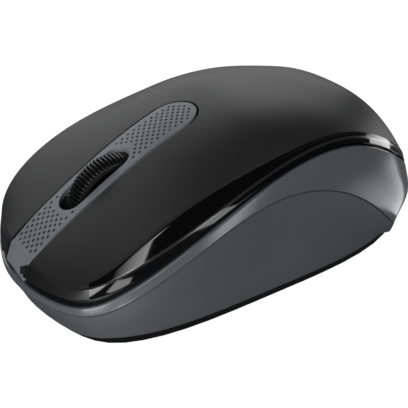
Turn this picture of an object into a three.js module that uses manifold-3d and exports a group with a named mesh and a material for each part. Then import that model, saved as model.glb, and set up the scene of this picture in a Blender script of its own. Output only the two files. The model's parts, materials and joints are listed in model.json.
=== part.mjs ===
// A compact wireless computer mouse in millimetres, +Z up, with its keys toward -Y.
// z = 0 is the surface it stands on, x = 0 is its plane of symmetry, and +X is the user's left.
import * as THREE from "three";
import { mergeVertices } from "three/addons/utils/BufferGeometryUtils.js";
import Module from "manifold-3d";

const wasm = await Module();
wasm.setup();

// Outlines of the body: half of each, front centre to rear centre, as control points of a closed
// cubic B-spline. The five lines run round the body at different heights.
const BASE_LINE = [
  [0, -48.4], [17.5, -44], [26.8, -39.6], [30.1, -24], [28.1, 0.8], [26.9, 23.6], [19.2, 46], [0, 47.1],
].map(([x, y]) => [x, y, 0]);
const SCOOP_LINE = [
  [0, -51.5, 6.5], [18.4, -46.4, 6.6], [28.5, -40.6, 8.7], [31.7, -24, 17.5],
  [29.2, 0.9, 27.6], [29.7, 24.1, 19.8], [19, 45.6, -5], [0, 47.3, 0.9],
];
const SEAM_LINE = [
  [0, -51.7, 8.8], [18.4, -46.3, 7.7], [28.3, -40.5, 11.2], [31, -24, 19.3],
  [28.5, 0.9, 30.2], [27.4, 23.7, 32.9], [21.2, 48.3, 14.6], [0, 51.2, 9.8],
];
const CREASE_LINE = [
  [0, -48.5, 13], [18.1, -45.8, 11.2], [28.2, -40.4, 15.8], [30.5, -24, 22.5],
  [27.4, 0.8, 31.7], [25.7, 23.4, 34.3], [20.5, 47.9, 17.6], [0, 50.2, 13.2],
];
const SHOULDER_LINE = [
  [0, -48.1, 13.6], [17.9, -45.6, 11.6], [27.6, -40, 16.8], [27.4, -24.1, 27.3],
  [26.4, 0.7, 32.8], [24.9, 23.3, 35.5], [20.2, 47.6, 18], [0, 49.9, 13.8],
];
const COVER_GAPS = [1.6, 1.6, 1.6, 1.3, 0.8, 0.6, 0.4, 0.4]; // key gap at the front, seam at the rear
const COVER_LINE = SEAM_LINE.map(([x, y, z], i) => [x * 0.995, y * 0.997, z + COVER_GAPS[i]]);
const AROUND = 52; // points on each ring
const BELLY = { out: 2.3, share: [0.33, 0.42] }; // the rear wall's bulge, growing between these shares of the ring

// The dome over the shoulder line.
const TOP = 38.2;
const APEX_Y = 10;
const FULLNESS = { front: 1.25, side: 0.23, rear: -0.05 };
const ARCH = { full: 1, y: [-25, 2] }; // the front's arch across is a parabola, fading out between these y
const BLEND_Y = [-4, 12]; // from the front's arch to the round rear
const DOME_STEPS = [0.93, 0.82, 0.68, 0.52, 0.34, 0.16];

// Walls and clearances.
const COVER = 2; // wall of the keys and the palm cover
const STRIP = 1.5; // wall of the centre strip
const WALL = 2.1; // wall of the side shell
const SLIT = 0.5; // between the strip and the keys
const GAP = 0.3; // between fixed neighbours
const LIP = 1.9; // height of the side shell's lip inside the cover
const LIP_ROOM = 1.8; // under the cover, for the keys' travel

// Base plate and feet.
const FOOT = 0.8;
const BASE_EDGE = 2; // top of the black edge that shows
const BASE_TOP = 2.9;

// Centre strip and its wheel slot.
const STRIP_FRONT = { y: -48, half: 5.4 };
const STRIP_REAR = { y: -3.5, half: 6.4 };
const SLOT = { y: -28.7, length: 19.8, half: 3.85, tilt: 0.58 }; // tilt from level, in radians

// Keys: they flex along a line across the cover.
const FLEX_Y = -6.5;
const SWITCH_X = 15;
const SWITCH_Y = -31;

// Scroll wheel.
const WHEEL = { y: -23.7, z: 17.3, radius: 11.7, half: 2.8 };
const HUB_RADIUS = 9.4;
const AXLE_RADIUS = 1.2;

// Electronics.
const BOARD = [7.4, 9];
const SWITCH_TOP = 15.5;
const SENSOR = { x: -6, y: -2 };

// One AA cell and its bay.
const CELL = { x: 9.5, y: 14, z: 9.85, radius: 7.25, length: 50.5 };
const BAY = { x: [1.2, 17.8], y: [-13.9, 40.4] };
const BAY_WALL = 8.2;
const DOOR_SLOT = 2.1;

// Radio receiver and its trough.
const TROUGH = { x: [-18.2, -2.4], y: [8, 33.6], roof: 8.4 };
const SHELF_END = 14.8;

// Screws that close the case, each under a foot.
const CASE_SCREWS = { front: [0, -41.5], left: [20.6, 14], right: [-20.6, 14] };
const BOARD_SCREWS = { left: [20, -22], right: [-20, 0] };

// Solids and how they join.
function solid(geometry) {
  const bare = new THREE.BufferGeometry().setAttribute("position", geometry.getAttribute("position"));
  if (geometry.index) bare.setIndex(geometry.index);
  const merged = mergeVertices(bare, 1e-4);
  const corners = merged.index.array;
  const triangles = [];
  for (let i = 0; i < corners.length; i += 3) {
    const [a, b, c] = corners.slice(i, i + 3);
    if (a !== b && b !== c && c !== a) triangles.push(a, b, c);
  }
  const vertProperties = merged.attributes.position.array;
  return new wasm.Manifold(new wasm.Mesh({ numProp: 3, vertProperties, triVerts: new Uint32Array(triangles) }));
}
const join = (...solids) => solids.reduce((whole, next) => whole.add(next));
const cut = (whole, ...tools) => tools.reduce((left, tool) => left.subtract(tool), whole);

function box([x0, x1], [y0, y1], [z0, z1]) {
  const geometry = new THREE.BoxGeometry(x1 - x0, y1 - y0, z1 - z0);
  return solid(geometry.translate((x0 + x1) / 2, (y0 + y1) / 2, (z0 + z1) / 2));
}
function post([x, y], radius, [z0, z1], sides = 20) {
  const geometry = new THREE.CylinderGeometry(radius, radius, z1 - z0, sides).rotateX(Math.PI / 2);
  return solid(geometry.translate(x, y, (z0 + z1) / 2));
}
function prism(shape, [z0, z1], curveSegments = 3) {
  const settings = { depth: z1 - z0, bevelEnabled: false, curveSegments };
  return solid(new THREE.ExtrudeGeometry(shape, settings).translate(0, 0, z0));
}
function turned(profile, sides) {
  return new THREE.LatheGeometry(profile.map(([r, h]) => new THREE.Vector2(r, h)), sides);
}
function roundedOutline([x0, x1], [y0, y1], radius) {
  const shape = new THREE.Shape();
  shape.absarc(x1 - radius, y0 + radius, radius, -Math.PI / 2, 0);
  shape.absarc(x1 - radius, y1 - radius, radius, 0, Math.PI / 2);
  shape.absarc(x0 + radius, y1 - radius, radius, Math.PI / 2, Math.PI);
  shape.absarc(x0 + radius, y0 + radius, radius, Math.PI, 1.5 * Math.PI);
  return shape;
}

// A point of a closed uniform cubic B-spline, at share t of its length.
function splinePoint(control, t) {
  const at = t * control.length;
  const i = Math.floor(at);
  const f = at - i;
  const weights = [(1 - f) ** 3, 3 * f ** 3 - 6 * f ** 2 + 4, -3 * f ** 3 + 3 * f ** 2 + 3 * f + 1, f ** 3];
  const point = new THREE.Vector3();
  weights.forEach((weight, k) => {
    point.addScaledVector(control[(i - 1 + k + control.length) % control.length], weight / 6);
  });
  return point;
}

// The closed ring of an outline, moved in by inset in plan and up by lift.
function ring(line, inset = 0, lift = 0) {
  const mirrored = line.slice(1, -1).reverse().map(([x, y, z]) => [-x, y, z]);
  const control = [...line, ...mirrored].map((p) => new THREE.Vector3(...p));
  const points = Array.from({ length: AROUND }, (_, i) => splinePoint(control, i / AROUND));
  return points.map((point, i) => {
    const along = points[(i + 1) % AROUND].clone().sub(points.at(i - 1)).setZ(0).normalize();
    return new THREE.Vector3(point.x - along.y * inset, point.y + along.x * inset, point.z + lift);
  });
}
const atLeast = (points, lowest) => points.map((p) => p.clone().setZ(Math.max(p.z, lowest)));

// The surface through rings in order, each end a single point, or closed from last to first.
function skin(levels, closed = false) {
  const vertices = levels.flat();
  const starts = levels.map((_, n) => levels.slice(0, n).flat().length);
  const index = [];
  const bands = closed ? levels.length : levels.length - 1;
  for (let n = 0; n < bands; n++) {
    const next = (n + 1) % levels.length;
    for (let i = 0; i < AROUND; i++) {
      const j = (i + 1) % AROUND;
      const [a, b] = levels[n].length > 1 ? [starts[n] + i, starts[n] + j] : [starts[n], starts[n]];
      const [d, c] = levels[next].length > 1 ? [starts[next] + i, starts[next] + j] : [starts[next], starts[next]];
      index.push(a, b, c, a, c, d);
    }
  }
  return solid(new THREE.BufferGeometry().setFromPoints(vertices).setIndex(index));
}

// The share of the dome's drop at share k of the way out; full is how much of it is parabola.
const fall = (k, full) => full * k ** 2 + (1 - full) * k ** 4;

// A quantity read at the place along the points where their measure, which rises, passes a value.
function readAt(points, measure, value, read) {
  const found = points.findIndex((p, i) => i > 0 && measure(p) >= value);
  const next = found < 0 ? points.length - 1 : found;
  const [a, b] = [points[next - 1], points[next]];
  const share = THREE.MathUtils.inverseLerp(measure(a), measure(b), value);
  return THREE.MathUtils.lerp(read(a), read(b), THREE.MathUtils.clamp(share, 0, 1));
}

// Height of the cover set in by depth: arched across in front of the apex, falling all round behind it.
function domeOver(depth) {
  const half = ring(SHOULDER_LINE, depth, -depth).slice(0, AROUND / 2 + 1);
  const top = TOP - depth;
  const front = half[0];
  const bearingOf = (p) => Math.atan2(p.x, APEX_Y - p.y);
  const reachOf = (p) => Math.hypot(p.x, p.y - APEX_Y);
  return (x, y) => {
    const [out, behind] = [Math.abs(x), y - APEX_Y];
    const reach = Math.max(Math.hypot(out, behind), 1e-6);
    const bearing = Math.atan2(out, -behind);
    const edge = readAt(half, bearingOf, bearing, (p) => p.z);
    const rear = Math.max(behind / reach, 0) ** 2;
    const roundFull = THREE.MathUtils.lerp(FULLNESS.side, FULLNESS.rear, rear);
    const around = top - (top - edge) * fall(reach / readAt(half, bearingOf, bearing, reachOf), roundFull);

    const ahead = THREE.MathUtils.clamp(behind / (front.y - APEX_Y), 0, 1);
    const ridge = top - (top - front.z) * fall(ahead, FULLNESS.front);
    const arch = 1 - THREE.MathUtils.smoothstep(y, ...ARCH.y);
    const share = y < front.y ? 1 : out / Math.max(readAt(half, (p) => p.y, y, (p) => p.x), 1e-6);
    const drop = fall(share, THREE.MathUtils.lerp(FULLNESS.side, ARCH.full, arch));
    const across = ridge - (ridge - readAt(half, (p) => p.y, y, (p) => p.z)) * drop;
    return THREE.MathUtils.lerp(across, around, THREE.MathUtils.smoothstep(y, ...BLEND_Y));
  };
}
const domeHeight = (x, y, depth = 0) => domeOver(depth)(x, y);

// The cover's surface set in by depth, from its lower edge up to its apex.
function coverSurface(depth) {
  const shoulder = ring(SHOULDER_LINE, depth, -depth);
  const height = domeOver(depth);
  const domeRing = (k) =>
    shoulder.map((p) => {
      const [x, y] = [p.x * k, APEX_Y + (p.y - APEX_Y) * k];
      return new THREE.Vector3(x, y, height(x, y));
    });
  return [
    ring(COVER_LINE, depth),
    ring(CREASE_LINE, depth, -depth / 2),
    shoulder,
    ...DOME_STEPS.map(domeRing),
    [new THREE.Vector3(0, APEX_Y, TOP - depth)],
  ];
}
// A post that stands on nothing and reaches into the underside of the cover.
function coverPost(at, radius, from, sides) {
  const below = skin([[new THREE.Vector3(0, 0, -200)], ...coverSurface(0.8)]);
  return post(at, radius, [from, TOP], sides).intersect(below);
}
const coverLayer = (outer, inner) => skin([...coverSurface(inner).reverse(), ...coverSurface(outer)]);

// Everything between two heights inside the base outline.
function baseSlab(inset, [z0, z1]) {
  const outline = ring(BASE_LINE, inset);
  const level = (z) => outline.map((p) => p.clone().setZ(z));
  return skin([[new THREE.Vector3(0, 0, z0)], level(z0), level(z1), [new THREE.Vector3(0, 0, z1)]]);
}

const stripHalf = (y) =>
  THREE.MathUtils.mapLinear(y, STRIP_FRONT.y, STRIP_REAR.y, STRIP_FRONT.half, STRIP_REAR.half);
function stripOutline(grow, front) {
  const arcY = STRIP_REAR.y - STRIP_REAR.half;
  const shape = new THREE.Shape();
  shape.moveTo(-stripHalf(front) - grow, front);
  shape.lineTo(stripHalf(front) + grow, front);
  shape.absarc(0, arcY, stripHalf(arcY) + grow, 0, Math.PI);
  return shape;
}
function slotCutter() {
  const reach = SLOT.length / 2 - SLOT.half;
  const shape = new THREE.Shape();
  shape.absarc(0, -reach, SLOT.half, Math.PI, 2 * Math.PI);
  shape.absarc(0, reach, SLOT.half, 0, Math.PI);
  const settings = { depth: 10, bevelEnabled: false, curveSegments: 7 };
  const geometry = new THREE.ExtrudeGeometry(shape, settings).translate(0, 0, -5).rotateX(SLOT.tilt);
  return solid(geometry.translate(0, SLOT.y, domeHeight(0, SLOT.y)));
}

// Materials.
const finish = (color, roughness, metalness = 0) =>
  new THREE.MeshStandardMaterial({ color, roughness, metalness });
const SATIN_BLACK = finish(0x242526, 0.45);
const MATTE_BLACK = finish(0x161617, 0.6);
const GREY = finish(0x55585a, 0.5);
const RUBBER = finish(0x141414, 0.85);
const GLOSS_BLACK = finish(0x101011, 0.15);
const WHITE_SLIP = finish(0x3a3a3a, 0.5);
const BOARD_GREEN = finish(0x1c5a36, 0.55);
const CHIP = finish(0x1a1a1b, 0.5);
const CLEAR = finish(0xd8dde0, 0.1);
const STEEL = finish(0xb8babc, 0.3, 1);
const CELL_WRAP = finish(0x2c6e9c, 0.35, 0.3);
const PALE_PLASTIC = finish(0xd6d2c6, 0.5);
const RED_PLASTIC = finish(0xa83228, 0.45);

const mouse = new THREE.Group();
function piece(name, shape, material) {
  const { vertProperties, triVerts } = shape.getMesh();
  const geometry = new THREE.BufferGeometry()
    .setAttribute("position", new THREE.BufferAttribute(vertProperties, 3))
    .setIndex(new THREE.BufferAttribute(triVerts, 1));
  geometry.computeVertexNormals();
  const mesh = new THREE.Mesh(geometry, material);
  mesh.name = name;
  mouse.add(mesh);
}

const EVERYWHERE = [-60, 60];
const SIDES = { left: 1, right: -1 };

// Base plate: a flat tray with the cell's bay, the receiver's trough, screw bosses and the
// guides of the wheel cradle.
function basePlate() {
  const rim = baseSlab(0, [FOOT, BASE_EDGE]);
  const floor = baseSlab(WALL + GAP, [FOOT, BASE_TOP]);
  const inside = baseSlab(WALL + 0.7, [FOOT, 20]);
  const bayWalls = cut(
    box([BAY.x[0] - 1, BAY.x[1] + 1], [BAY.y[0] - 1, BAY.y[1] + 1], [BASE_EDGE, BAY_WALL]),
    box(BAY.x, BAY.y, [0, 12]),
  );
  const troughWalls = box(
    [TROUGH.x[0] - 1.2, TROUGH.x[1] + 1.2], [TROUGH.y[0] - 1, TROUGH.y[1] + 1], [BASE_EDGE, TROUGH.roof + 1],
  );
  const bosses = Object.values(CASE_SCREWS).map((at) => post(at, 2.8, [BASE_EDGE, 9.2]));
  const pillars = Object.values(BOARD_SCREWS).map((at) => post(at, 2, [BASE_EDGE, BOARD[0]]));
  const guides = [1, -1].map((side) =>
    box([side * 6.6 - 0.7, side * 6.6 + 0.7], [WHEEL.y - 2.3, WHEEL.y + 2.3], [BASE_EDGE, 16]),
  );
  const screwHoles = Object.values(CASE_SCREWS).flatMap((at) => [
    post(at, 2.2, [0, 3.2]),
    post(at, 1.25, [0, 12]),
  ]);
  const boardHoles = Object.values(BOARD_SCREWS).map((at) => post(at, 0.9, [4, 9]));
  const solidParts = join(rim, floor, join(bayWalls, troughWalls).intersect(inside), ...bosses, ...pillars, ...guides);
  return cut(
    solidParts,
    box(BAY.x, BAY.y, [0, 12]),
    box(BAY.x, [BAY.y[0], 60], [0, DOOR_SLOT]),
    box(TROUGH.x, TROUGH.y, [BASE_EDGE, TROUGH.roof]),
    box(TROUGH.x, [SHELF_END, TROUGH.y[1]], [0, TROUGH.roof]),
    prism(roundedOutline([SENSOR.x - 3.5, SENSOR.x + 3.5], [SENSOR.y - 4.5, SENSOR.y + 4.5], 1.5), [0, 4]),
    box([-17, -14], [-23.5, -16.5], [0, 4]),
    ...screwHoles,
    ...boardHoles,
  );
}

// Side shell: one closed wall from the base up to the seam, with a lip that stands inside the cover.
function sideShell() {
  const room = domeOver(COVER);
  const lip = (inset) =>
    ring(SEAM_LINE, inset, LIP).map((p) =>
      p.setZ(THREE.MathUtils.clamp(room(p.x, p.y) - LIP_ROOM, p.z - LIP + 0.3, p.z)));
  const scoop = atLeast(ring(SCOOP_LINE), BASE_EDGE + 1.2);
  const seam = ring(SEAM_LINE);
  const rise = (i) => THREE.MathUtils.smoothstep(Math.min(i, AROUND - i) / AROUND, ...BELLY.share);
  const swell = (points, line, share) => {
    const [at, out] = [ring(line), ring(line, -BELLY.out * share)];
    return points.map((p, i) => p.clone().addScaledVector(out[i].clone().sub(at[i]), rise(i)));
  };
  const belly = scoop.map((p, i) => p.clone().add(seam[i]).multiplyScalar(0.5));
  return skin(
    [
      ring(BASE_LINE, 0, BASE_EDGE + GAP),
      swell(atLeast(ring(SCOOP_LINE, 0.3, -1), BASE_EDGE + 0.7), SCOOP_LINE, 0.4),
      swell(scoop, SCOOP_LINE, 0.4),
      swell(belly, SEAM_LINE, 1),
      ring(SEAM_LINE, 0, -0.4),
      ring(SEAM_LINE, 0.4),
      ring(SEAM_LINE, 2.9),
      lip(2.9),
      lip(4),
      ring(SEAM_LINE, 4, -1),
      ring(SEAM_LINE, WALL + 0.3, -2.8),
      ring(BASE_LINE, WALL, BASE_EDGE + GAP),
    ],
    true,
  );
}

// Cover: two keys and the palm, which share one surface and part at the flex line.
function coverPart(xs, ys) {
  const region = box(xs, ys, [0, 60]);
  return cut(coverLayer(0, COVER).intersect(region), prism(stripOutline(SLIT, -60), [0, 60], 9));
}
function key(side) {
  const xs = side > 0 ? [0, 60] : [-60, 0];
  const at = [side * SWITCH_X, SWITCH_Y];
  const presser = coverPost(at, 1.6, SWITCH_TOP + 0.9, 12);
  return join(coverPart(xs, [-60, FLEX_Y - GAP / 2]), presser);
}
function palmCover() {
  const tongue = coverLayer(STRIP + GAP, STRIP + GAP + 1.6).intersect(box([-5, 5], [-16, 4], [0, 60]));
  const posts = [CASE_SCREWS.left, CASE_SCREWS.right].map((at) =>
    cut(coverPost(at, 2.4, 9.5), post(at, 1.1, [9, 16])),
  );
  return join(coverPart(EVERYWHERE, [FLEX_Y + GAP / 2, 60]), tongue, ...posts);
}
function centreStrip() {
  const skinOver = coverLayer(0, STRIP).intersect(prism(stripOutline(0, -60), [0, 60], 9));
  const front = box([-5.2, 5.2], [-48.1, -47.25], [8.9, 12.5]);
  const at = CASE_SCREWS.front;
  const leg = cut(coverPost(at, 2.4, 9.5), post(at, 1.1, [9, 14]));
  return join(cut(join(skinOver, front), slotCutter()), leg);
}

// Battery door: the part of the base's edge and floor that slides away from the bay.
function batteryDoor() {
  const inset = [BAY.x[0] + GAP, BAY.x[1] - GAP];
  const plate = baseSlab(0, [FOOT, BASE_EDGE]).intersect(box(inset, [BAY.y[0] + GAP, 60], [0, 4]));
  const grip = [0, 1, 2].map((n) => box([CELL.x - 4, CELL.x + 4], [-9 + 2 * n, -8 + 2 * n], [0, FOOT + 0.4]));
  return cut(plate, ...grip);
}

// Scroll wheel, turning about X.
const aboutX = (geometry) => geometry.rotateZ(-Math.PI / 2).translate(0, WHEEL.y, WHEEL.z);
function wheelHub() {
  const half = WHEEL.half - 0.3;
  const profile = [
    [0, -5.5], [AXLE_RADIUS, -5.5], [AXLE_RADIUS, -half], [3, -half], [3, -1], [8, -1], [8, -half], [HUB_RADIUS, -half],
  ];
  const mirrored = profile.map(([r, h]) => [r, -h]).reverse();
  const body = solid(aboutX(turned([...profile, ...mirrored], 36)));
  const windows = Array.from({ length: 12 }, (_, n) => {
    const geometry = new THREE.BoxGeometry(8, 1.4, 3).translate(0, 0, 6);
    return solid(geometry.rotateX((n * Math.PI) / 6).translate(0, WHEEL.y, WHEEL.z));
  });
  return cut(body, ...windows);
}
function wheelTyre() {
  const inner = HUB_RADIUS + 0.05;
  const rim = WHEEL.radius;
  const half = WHEEL.half;
  const profile = [
    [inner, -half], [rim - 1.2, -half], [rim - 0.3, -half + 0.7], [rim, -half + 1.6],
    [rim, half - 1.6], [rim - 0.3, half - 0.7], [rim - 1.2, half], [inner, half], [inner, -half],
  ];
  return solid(aboutX(turned(profile, 40)));
}
function wheelCradle() {
  const wall = (side, ys, zs) => box([side * 4.35 - 0.85, side * 4.35 + 0.85], ys, zs);
  const [armFront, armRear] = [-38.4, -18.4];
  const walls = [1, -1].flatMap((side) => [
    wall(side, [armFront, WHEEL.y], [10, 13.5]),
    wall(side, [-27, armRear], [10, 20]),
  ]);
  const bar = box([-5.2, 5.2], [armFront, -36.6], [10, 13.5]);
  const finger = box([-12.5, -3.5], [-20.6, armRear], [13.7, 15.7]);
  const geometry = new THREE.CylinderGeometry(AXLE_RADIUS + 0.1, AXLE_RADIUS + 0.1, 14, 24);
  return cut(join(...walls, bar, finger), solid(aboutX(geometry)));
}

// Circuit board and what is soldered to it.
function circuitBoard() {
  const outline = ring(SEAM_LINE, 6).map((p) => new THREE.Vector2(p.x, p.y));
  const blank = prism(new THREE.Shape(outline), BOARD).intersect(box(EVERYWHERE, [-60, 6], [0, 20]));
  const holes = Object.values(BOARD_SCREWS).map((at) => post(at, 0.9, [0, 20]));
  return cut(
    blank,
    box([-4.6, 4.6], [-36.2, -10.9], [0, 20]),
    box([-7.8, 7.8], [-26.5, -20.9], [0, 20]),
    box([BAY.x[0] - 1.6, 60], [BAY.y[0] - 1.8, 60], [0, 20]),
    post(CASE_SCREWS.front, 3.3, [0, 20]),
    post([SENSOR.x, SENSOR.y], 2.6, [0, 20]),
    ...holes,
  );
}
function keySwitch(side) {
  const x = side * SWITCH_X;
  const body = box([x - 2.9, x + 2.9], [SWITCH_Y - 5, SWITCH_Y + 7.8], [BOARD[1], SWITCH_TOP]);
  return cut(body, box([x - 1.3, x + 1.3], [SWITCH_Y - 0.9, SWITCH_Y + 0.9], [SWITCH_TOP - 2, 20]));
}
const keyPlunger = (side) =>
  box([side * SWITCH_X - 1.2, side * SWITCH_X + 1.2], [SWITCH_Y - 0.8, SWITCH_Y + 0.8], [SWITCH_TOP - 1, SWITCH_TOP + 0.7]);
const MIDDLE = [-11, -19.5];
const middleSwitch = () =>
  cut(box([-14, -8], [-22.5, -16.5], [BOARD[1], 12.5]), post(MIDDLE, 1.8, [11, 14], 16));
const middlePlunger = () => post(MIDDLE, 1.7, [11.8, 13.5], 16);

function opticalSensor() {
  const { x, y } = SENSOR;
  return join(box([x - 4.5, x + 4.5], [y - 6, y + 6], [BOARD[1], 11.3]), post([x, y], 2.3, [BOARD[0], 10], 16));
}
function sensorLens() {
  const { x, y } = SENSOR;
  const frame = prism(roundedOutline([x - 4.6, x + 4.6], [y - 7, y + 5.5], 1.2), [3.1, 5]);
  const nose = prism(roundedOutline([x - 3.2, x + 3.2], [y - 4.2, y + 4.2], 1.3), [1.4, 4]);
  return join(frame, nose, post([x, y], 2.2, [4, 7.1], 16));
}
function encoderEye(side) {
  const body = box([side * 7.4 - 1.5, side * 7.4 + 1.5], [-31.5, -28.5], [BOARD[1], 16.6]);
  const dome = new THREE.SphereGeometry(1, 12, 8).translate(side * 5.9, -30, 15);
  return join(body, solid(dome));
}
function capacitor() {
  const profile = [[0, 0], [2.4, 0], [2.5, 0.2], [2.5, 0.9], [2.3, 1.1], [2.5, 1.3], [2.5, 6.8], [2.2, 7], [0, 7]];
  return solid(turned(profile, 24).rotateX(Math.PI / 2).translate(10.5, -21, BOARD[1]));
}
const crystal = () =>
  prism(roundedOutline([-22.4, -18.4], [-32, -21.2], 1.9), [BOARD[1], 12.4]);

// Power switch on the underside of the board, with its slider through the base.
const powerSwitch = () => cut(box([-19, -12], [-25, -15], [4.6, BOARD[0]]), box([-16.5, -14.5], [-24, -16], [0, 6.4]));
function powerSlider() {
  const knob = prism(roundedOutline([-16.7, -14.3], [-23.2, -19.8], 0.8), [0.5, 3.4]);
  const plate = box([-17.6, -13.4], [-25, -16.6], [3.1, 4]);
  return join(knob, plate, box([-16, -15], [-22.4, -20.6], [3.9, 6]));
}

// Cell, contacts and receiver.
function cell() {
  const { radius, length } = CELL;
  const end = length / 2;
  const profile = [
    [0, -end], [radius - 0.6, -end], [radius, -end + 0.6], [radius, end - 2], [radius - 0.7, end - 1],
    [2.75, end - 1], [2.75, end], [0, end],
  ];
  return solid(turned(profile, 32).translate(CELL.x, CELL.y, CELL.z));
}
function cellSpring() {
  const [turns, steps] = [2.5, 30];
  const front = BAY.y[0] + 0.5;
  const rear = CELL.y - CELL.length / 2 - 0.5;
  const path = Array.from({ length: steps + 1 }, (_, n) => {
    const share = n / steps;
    const angle = share * turns * 2 * Math.PI;
    const radius = 4.2 - 1.8 * share;
    return new THREE.Vector3(
      CELL.x + radius * Math.cos(angle), front + (rear - front) * share, CELL.z + radius * Math.sin(angle),
    );
  });
  const wire = new THREE.Shape().absarc(0, 0, 0.28, 0, 2 * Math.PI);
  const extrudePath = new THREE.CatmullRomCurve3(path);
  return solid(new THREE.ExtrudeGeometry(wire, { steps: 40, extrudePath, curveSegments: 3 }));
}
const cellContact = () => box([CELL.x - 3.5, CELL.x + 3.5], [39.7, 40.1], [4, 14]);
const RECEIVER_X = (TROUGH.x[0] + TROUGH.x[1]) / 2;
const receiverCap = () => prism(roundedOutline([RECEIVER_X - 7.4, RECEIVER_X + 7.4], [19.95, 26.6], 1.4), [1.2, 7.7]);
function receiverPlug() {
  const shell = box([RECEIVER_X - 6, RECEIVER_X + 6], [8.4, 19.9], [2.3, 6.8]);
  return cut(shell, box([RECEIVER_X - 5.6, RECEIVER_X + 5.6], [8, 18.5], [4.6, 6.4]));
}

function screw([x, y], headRadius, shankRadius, [z0, shoulder, z1]) {
  const profile = [[0, z0], [headRadius, z0], [headRadius, shoulder], [shankRadius, shoulder], [shankRadius, z1], [0, z1]];
  return solid(turned(profile, 16).rotateX(Math.PI / 2).translate(x, y, 0));
}
function caseScrew(at) {
  return cut(screw(at, 1.9, 0.95, [1.4, 3, 13]), box([at[0] - 1.2, at[0] + 1.2], [at[1] - 0.25, at[1] + 0.25], [0, 2]),
    box([at[0] - 0.25, at[0] + 0.25], [at[1] - 1.2, at[1] + 1.2], [0, 2]));
}
function boardScrew([x, y]) {
  return screw([0, 0], 1.7, 0.75, [0, 1.1, 5.2]).rotate([180, 0, 0]).translate([x, y, BOARD[1] + 1.15]);
}

const foot = (xs, ys, radius) => prism(roundedOutline(xs, ys, radius), [0, FOOT - 0.02], 4);

piece("base_plate", basePlate(), MATTE_BLACK);
piece("side_shell", sideShell(), GREY);
piece("palm_cover", palmCover(), SATIN_BLACK);
piece("centre_strip", centreStrip(), GREY);
for (const [name, side] of Object.entries(SIDES)) {
  piece(`${name}_button`, key(side), SATIN_BLACK);
  piece(`${name}_switch`, keySwitch(side), CHIP);
  piece(`${name}_plunger`, keyPlunger(side), RED_PLASTIC);
}
piece("wheel_hub", wheelHub(), GLOSS_BLACK);
piece("wheel_tyre", wheelTyre(), RUBBER);
piece("wheel_cradle", wheelCradle(), PALE_PLASTIC);
piece("middle_switch", middleSwitch(), CHIP);
piece("middle_plunger", middlePlunger(), PALE_PLASTIC);
piece("encoder_emitter", encoderEye(1), CLEAR);
piece("encoder_detector", encoderEye(-1), CHIP);
piece("circuit_board", circuitBoard(), BOARD_GREEN);
piece("optical_sensor", opticalSensor(), CHIP);
piece("sensor_lens", sensorLens(), CLEAR);
piece("controller_chip", box([-20, -12], [-14, -6], [BOARD[1], 10.3]), CHIP);
piece("crystal", crystal(), STEEL);
piece("capacitor", capacitor(), CHIP);
piece("power_switch", powerSwitch(), STEEL);
piece("power_slider", powerSlider(), WHITE_SLIP);
piece("battery", cell(), CELL_WRAP);
piece("battery_spring", cellSpring(), STEEL);
piece("battery_contact", cellContact(), STEEL);
piece("battery_door", batteryDoor(), MATTE_BLACK);
piece("receiver_cap", receiverCap(), GLOSS_BLACK);
piece("receiver_plug", receiverPlug(), STEEL);
for (const [name, at] of Object.entries(CASE_SCREWS)) piece(`${name}_case_screw`, caseScrew(at), STEEL);
for (const [name, at] of Object.entries(BOARD_SCREWS)) piece(`${name}_board_screw`, boardScrew(at), STEEL);
piece("front_foot", foot([-11, 11], [-43.4, -38.6], 2.3), WHITE_SLIP);
piece("left_foot", foot([18.4, 22.8], [5, 23], 2.1), WHITE_SLIP);
piece("right_foot", foot([-22.8, -18.4], [5, 23], 2.1), WHITE_SLIP);

export default mouse;
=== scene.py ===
"""Looks of a compact wireless mouse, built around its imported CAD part.

Lengths are millimetres until a mesh is made. x = 0 is the plane of symmetry, the keys point to -Y,
+X is the user's left, and z = 0 is the surface that the mouse stands on.
"""
import bmesh
import bpy
import json
import math
import numpy as np
from mathutils import Matrix, Vector
from mathutils.geometry import delaunay_2d_cdt


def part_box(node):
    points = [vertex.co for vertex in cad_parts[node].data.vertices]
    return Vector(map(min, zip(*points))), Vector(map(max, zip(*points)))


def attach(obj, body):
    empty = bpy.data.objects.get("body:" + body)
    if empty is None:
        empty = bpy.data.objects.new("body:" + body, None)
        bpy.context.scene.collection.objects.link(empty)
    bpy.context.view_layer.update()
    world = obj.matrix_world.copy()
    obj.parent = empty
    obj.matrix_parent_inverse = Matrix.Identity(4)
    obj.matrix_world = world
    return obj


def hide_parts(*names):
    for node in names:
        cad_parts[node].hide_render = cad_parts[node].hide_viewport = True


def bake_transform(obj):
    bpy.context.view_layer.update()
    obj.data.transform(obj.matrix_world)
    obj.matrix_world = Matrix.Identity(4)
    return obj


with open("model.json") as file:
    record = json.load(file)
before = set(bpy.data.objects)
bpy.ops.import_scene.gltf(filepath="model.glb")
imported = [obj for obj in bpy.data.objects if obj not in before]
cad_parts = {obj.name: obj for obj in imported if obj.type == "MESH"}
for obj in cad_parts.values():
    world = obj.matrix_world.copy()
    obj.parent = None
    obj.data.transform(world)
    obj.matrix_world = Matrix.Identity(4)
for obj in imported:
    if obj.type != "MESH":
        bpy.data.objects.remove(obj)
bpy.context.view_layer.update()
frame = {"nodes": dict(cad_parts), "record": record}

MM = 0.001

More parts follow.
